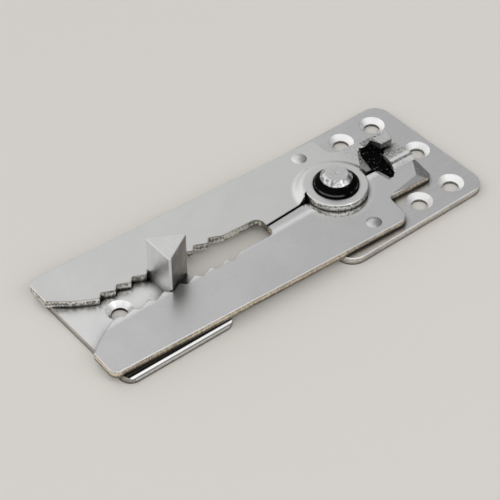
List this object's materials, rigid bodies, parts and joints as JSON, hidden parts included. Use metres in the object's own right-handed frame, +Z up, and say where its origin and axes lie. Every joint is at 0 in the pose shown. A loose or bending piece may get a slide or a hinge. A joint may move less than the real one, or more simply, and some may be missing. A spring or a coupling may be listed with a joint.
{
  "type": "sectional sofa connector",
  "caption": "Furniture connector: toothed pivoting jaws on a countersunk base plate, engaged with a triangular post on its own screw plate.",
  "frame": {"origin": "on the rivet's axis, level with the underside of the base plate", "axes": "+X along the base plate from the rivet towards its screw holes, +Z up out of the rivet's head, +Y towards the upper jaw's side"},
  "size_m": [0.1631, 0.0624, 0.021],
  "materials": {
    "plate_zinc": "satin zinc plate",
    "jaw_nickel": "satin nickel plate",
    "rivet_nickel": "bright turned nickel",
    "black_rubber": "matt black",
    "bright_nickel": "bright nickel plate",
    "post_steel": "bright drawn bar with a brushed end"
  },
  "bodies": {
    "post_side": {"post_plate": "bright_nickel", "post": "post_steel"},
    "rivet_stack": {"rivet": "rivet_nickel", "rubber_ring": "black_rubber", "rubber_spring": "black_rubber"},
    "base": {"base_plate": "plate_zinc"},
    "far_jaw_body": {"far_jaw": "jaw_nickel"},
    "near_jaw_body": {"near_jaw": "jaw_nickel"}
  },
  "joints": [
    {"name": "lift_off", "type": "slide", "parent": "post_side", "child": "rivet_stack", "axis": [0, 0, 1], "range_m": [0, 0.022]},
    {"name": "base_swing", "type": "hinge", "parent": "rivet_stack", "child": "base", "pos_m": [0, 0, 0], "axis": [0, 0, 1], "range_deg": [-10, 10]},
    {"name": "far_jaw_open", "type": "hinge", "parent": "rivet_stack", "child": "far_jaw_body", "pos_m": [0, 0, 0], "axis": [0, 0, 1], "range_deg": [-2.5, 0], "stiffness_Nm_per_rad": 2, "springref_deg": 2.86, "deforming": ["rubber_spring"]},
    {"name": "near_jaw_open", "type": "hinge", "parent": "rivet_stack", "child": "near_jaw_body", "pos_m": [0, 0, 0], "axis": [0, 0, 1], "range_deg": [0, 2.5], "stiffness_Nm_per_rad": 2, "springref_deg": -2.86, "deforming": ["rubber_spring"]}
  ]
}
